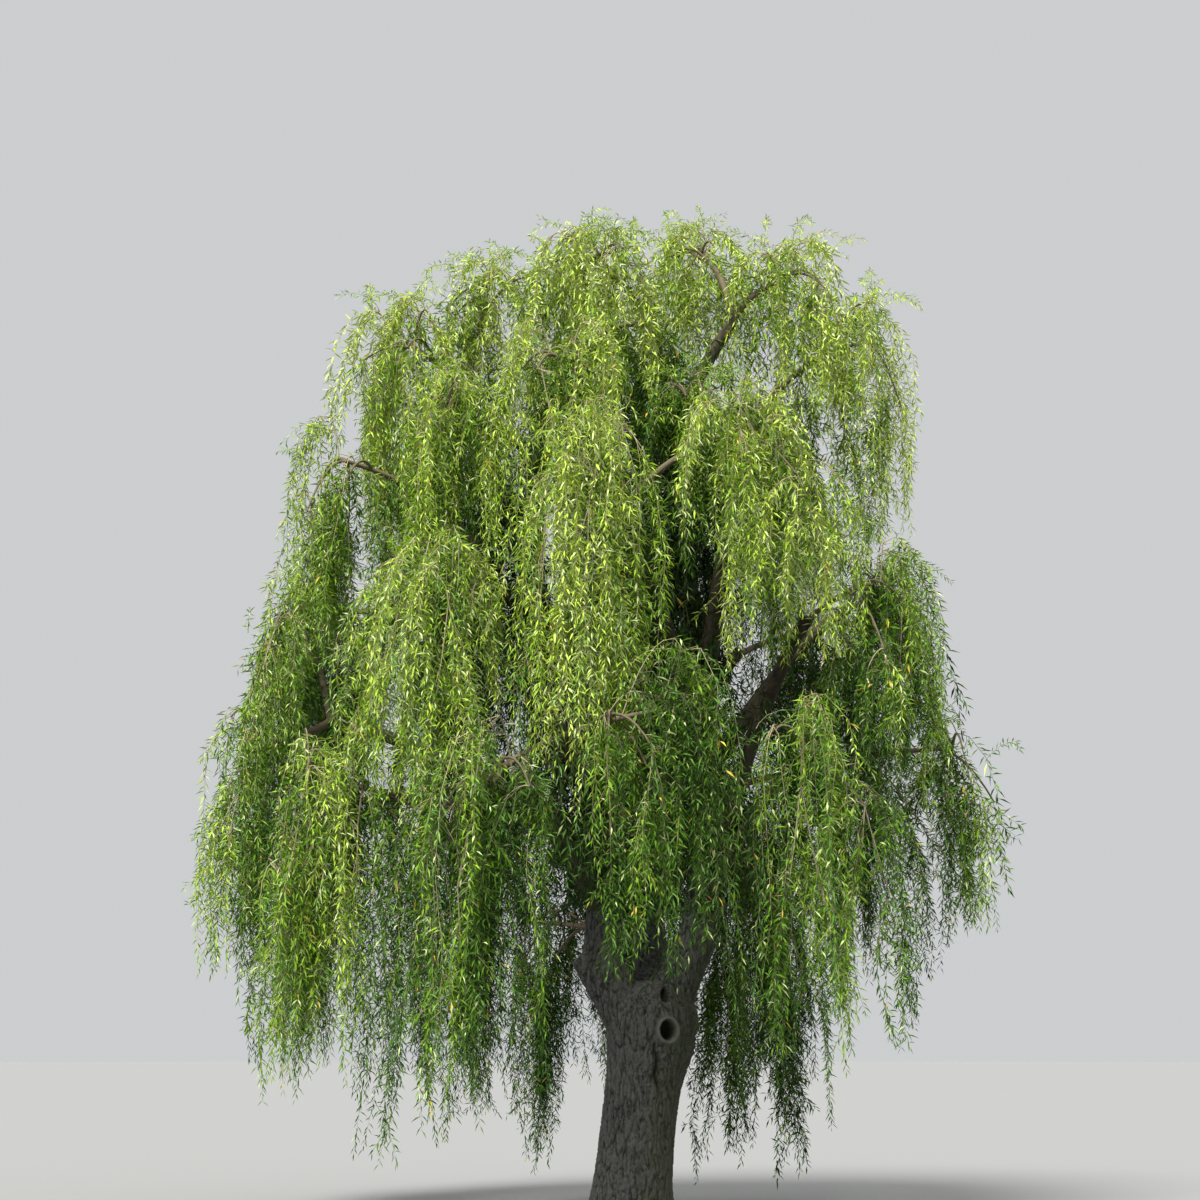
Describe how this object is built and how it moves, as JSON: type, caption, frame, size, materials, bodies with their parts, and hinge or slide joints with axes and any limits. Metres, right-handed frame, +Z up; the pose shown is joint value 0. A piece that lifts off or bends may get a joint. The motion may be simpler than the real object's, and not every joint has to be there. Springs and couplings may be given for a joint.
{
  "type": "weeping willow tree",
  "caption": "Weeping willow in summer leaf: leaning furrowed trunk, forked limbs, and a broad crown of hanging curtains of narrow leaves.",
  "frame": {"origin": "middle of the flat cut under the trunk, at ground level", "axes": "+Z up the tree, -Y towards the side that the picture shows, +X to the right as seen from there"},
  "size_m": [7.4997, 7.1836, 9.8],
  "materials": {
    "bark": "dark grey-brown furrowed bark, matt",
    "bough_bark": "smoother yellow-brown bark of boughs and twigs, matt",
    "foliage_bright": "yellow-green willow leaves, satin",
    "foliage_mid": "mid-green willow leaves, satin",
    "foliage_deep": "deep green willow leaves, satin"
  },
  "bodies": {
    "root": {"trunk": "bark", "limb_right": "bark", "limb_left": "bark", "limb_back": "bark", "bough_top_right": "bough_bark", "bough_right_shoulder": "bough_bark", "bough_right_front_dome": "bough_bark", "bough_front_cascade": "bough_bark", "bough_right_outer": "bough_bark", "bough_right_mid": "bough_bark", "bough_right_low_front": "bough_bark", "bough_centre_low": "bough_bark", "bough_upper_front": "bough_bark", "bough_left_mid": "bough_bark", "bough_left_outer_upper": "bough_bark", "bough_left_low_outer": "bough_bark", "bough_left_centre_low": "bough_bark", "bough_left_mid_back": "bough_bark", "bough_back_left_low": "bough_bark", "bough_back_mid": "bough_bark", "bough_back_right_mid": "bough_bark", "foliage_top_middle": "foliage_bright", "foliage_top_left": "foliage_bright", "foliage_top_peak": "foliage_bright", "foliage_top_right": "foliage_bright", "foliage_top_inner": "foliage_bright", "foliage_top_back": "foliage_bright", "foliage_right_shoulder": "foliage_bright", "foliage_left_shoulder": "foliage_bright", "foliage_upper_front": "foliage_bright", "foliage_left_front_upper": "foliage_bright", "foliage_right_front_dome": "foliage_bright", "foliage_back_right_upper": "foliage_bright", "foliage_back_left_upper": "foliage_bright", "foliage_front_cascade": "foliage_bright", "foliage_left_outer_upper": "foliage_bright", "foliage_left_mid": "foliage_mid", "foliage_left_mid_outer": "foliage_mid", "foliage_left_mid_back": "foliage_mid", "foliage_right_mid": "foliage_mid", "foliage_right_outer": "foliage_mid", "foliage_back_left_mid": "foliage_mid", "foliage_back_mid": "foliage_mid", "foliage_back_right_mid": "foliage_mid", "foliage_centre_low": "foliage_deep", "foliage_left_centre_low": "foliage_deep", "foliage_left_low_front": "foliage_deep", "foliage_left_low_outer": "foliage_deep", "foliage_left_low_back": "foliage_deep", "foliage_back_left_low": "foliage_deep", "foliage_back_low": "foliage_deep", "foliage_back_right_low": "foliage_deep", "foliage_right_low_back": "foliage_deep", "foliage_right_low_outer": "foliage_deep", "foliage_right_low_front": "foliage_deep", "foliage_inner_right": "foliage_deep", "foliage_inner_left": "foliage_deep", "foliage_inner_back": "foliage_deep"}
  },
  "joints": []
}
